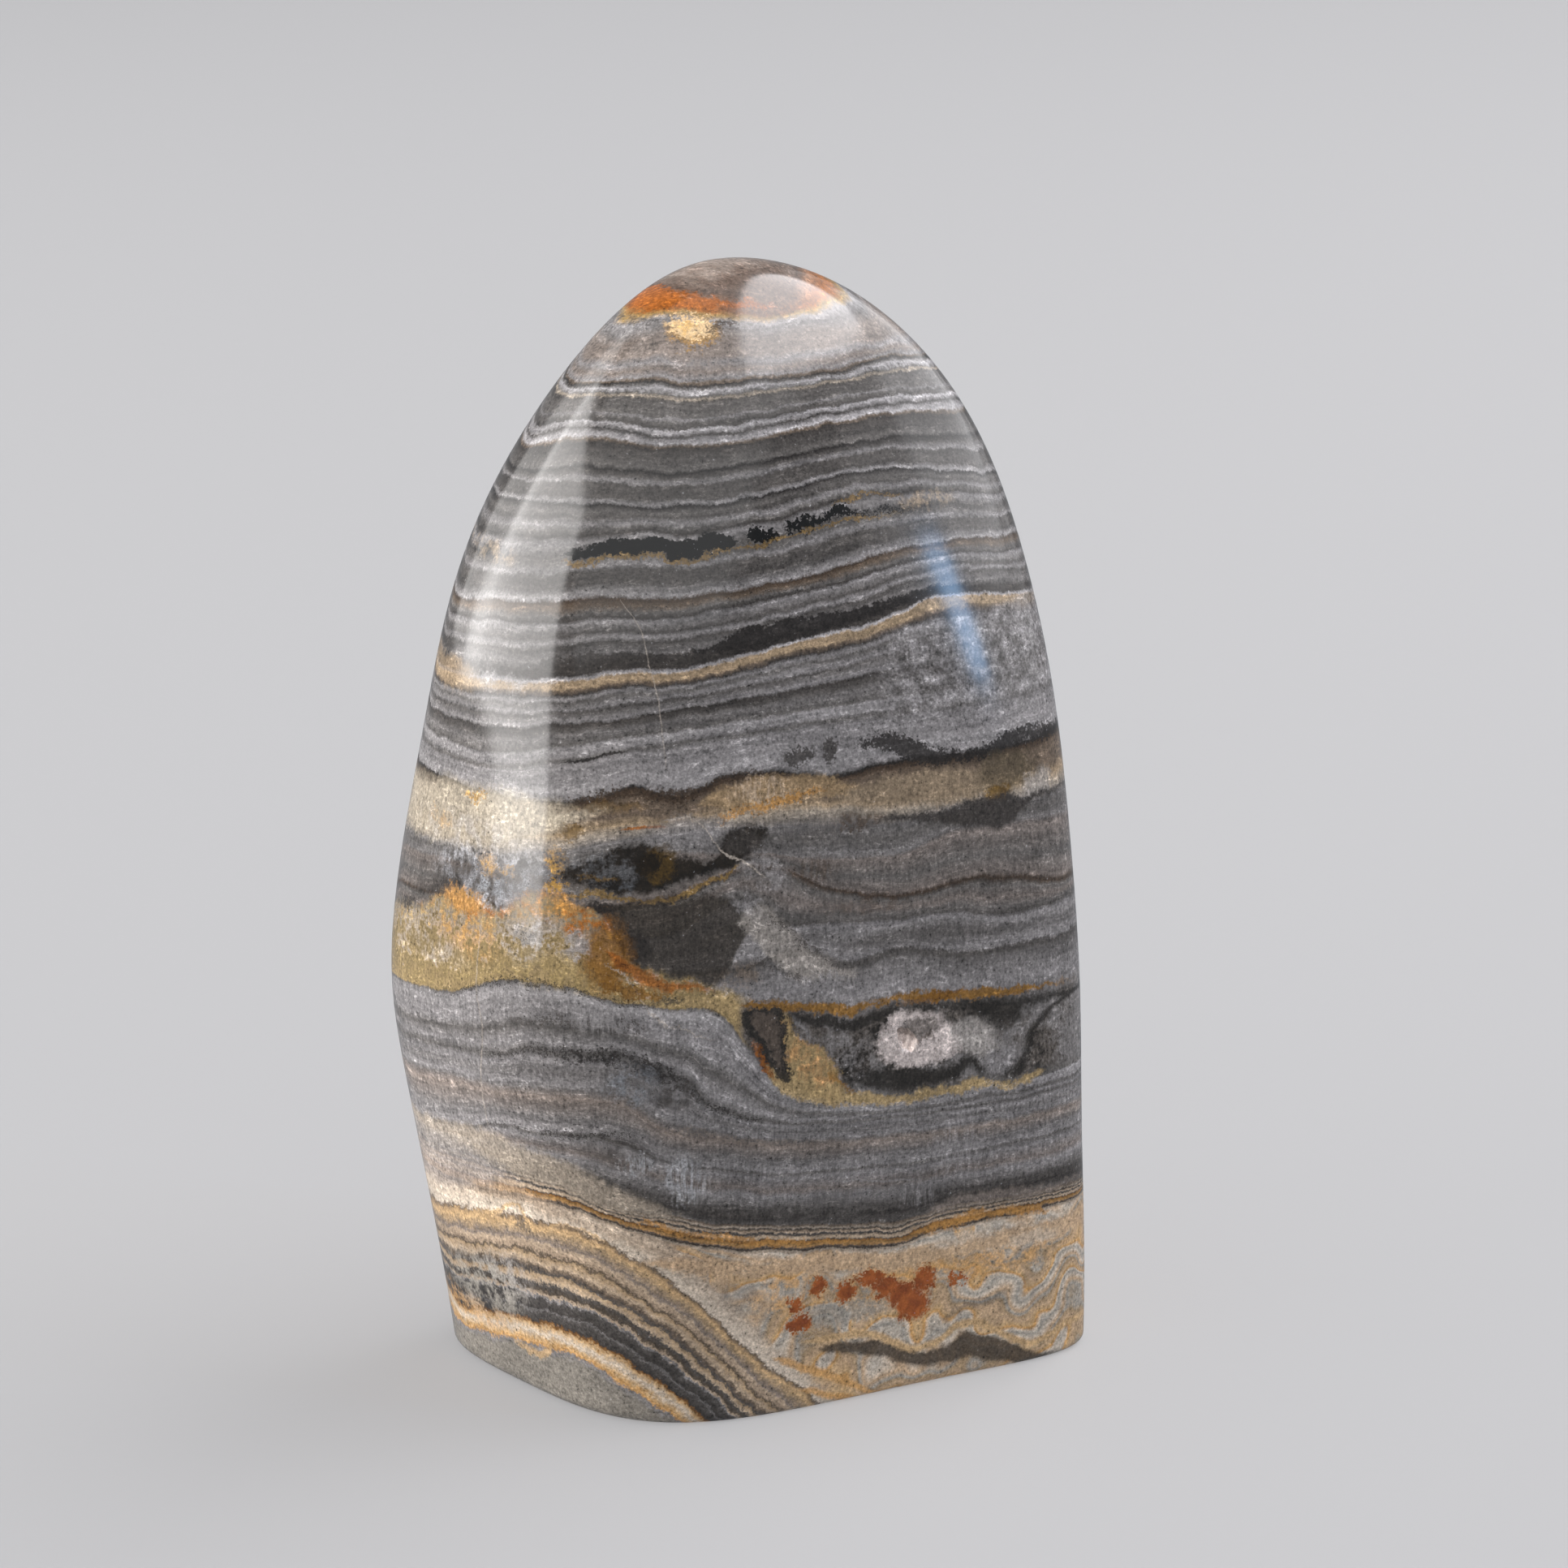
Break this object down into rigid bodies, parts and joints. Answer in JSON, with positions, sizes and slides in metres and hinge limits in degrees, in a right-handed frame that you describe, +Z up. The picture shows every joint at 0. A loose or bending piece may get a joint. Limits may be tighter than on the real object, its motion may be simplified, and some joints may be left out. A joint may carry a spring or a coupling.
{
  "type": "polished bumblebee jasper freeform",
  "caption": "Free-standing polished freeform of banded grey, cream and ochre volcanic carbonate, with a rounded summit, a broad face and a flat sawn base to rest on.",
  "frame": {"origin": "on the flat resting face, under the middle of the stone's bounding box", "axes": "+Z up along the stone's height, -Y out of the broad face, -X towards the blunt left flank"},
  "size_m": [0.0586, 0.0394, 0.1],
  "materials": {
    "polished_stone": "polished banded carbonate stone, grey, cream, orange and yellow layers"
  },
  "bodies": {
    "root": {"stone": "polished_stone"}
  },
  "joints": []
}
